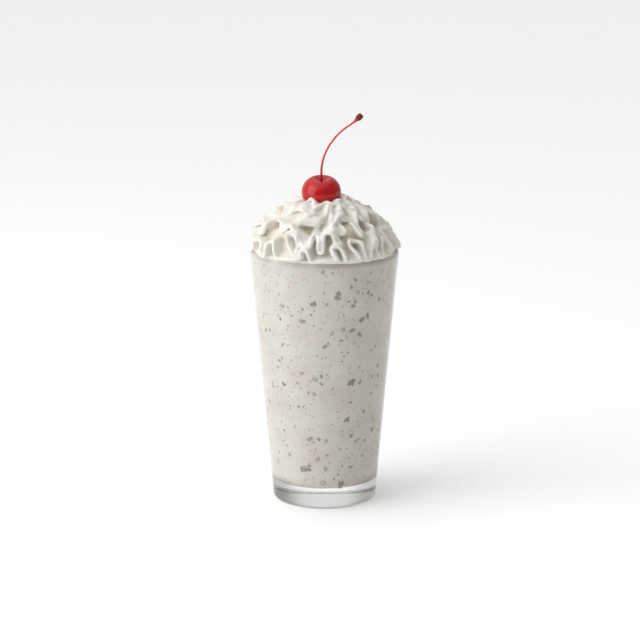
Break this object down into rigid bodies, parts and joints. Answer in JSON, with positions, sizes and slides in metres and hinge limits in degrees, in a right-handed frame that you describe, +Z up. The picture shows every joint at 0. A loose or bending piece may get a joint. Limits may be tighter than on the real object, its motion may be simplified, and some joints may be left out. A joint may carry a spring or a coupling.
{
  "type": "milkshake",
  "caption": "Thick cookie milkshake in a clear tapered glass tumbler, with ruffled whipped cream over the rim and a stemmed cherry on top",
  "frame": {"origin": "centre of the glass's foot, on the surface it stands on", "axes": "+Z up along the glass's axis; +X to the viewer's right, the way the cherry stem bends; -Y toward the viewer"},
  "size_m": [0.0898, 0.0898, 0.2354],
  "materials": {
    "glass": "clear, smooth and glossy",
    "milkshake": "opaque creamy off-white drink with dark cookie crumbs, smooth",
    "whipped_cream": "soft satin white dairy cream",
    "cherry": "glossy wet red candied fruit skin",
    "cherry_stem": "dyed red stem, satin, darker at the knob"
  },
  "bodies": {
    "root": {"glass": "glass", "milkshake": "milkshake", "whipped_cream": "whipped_cream", "cherry": "cherry", "cherry_stem": "cherry_stem"}
  },
  "joints": []
}
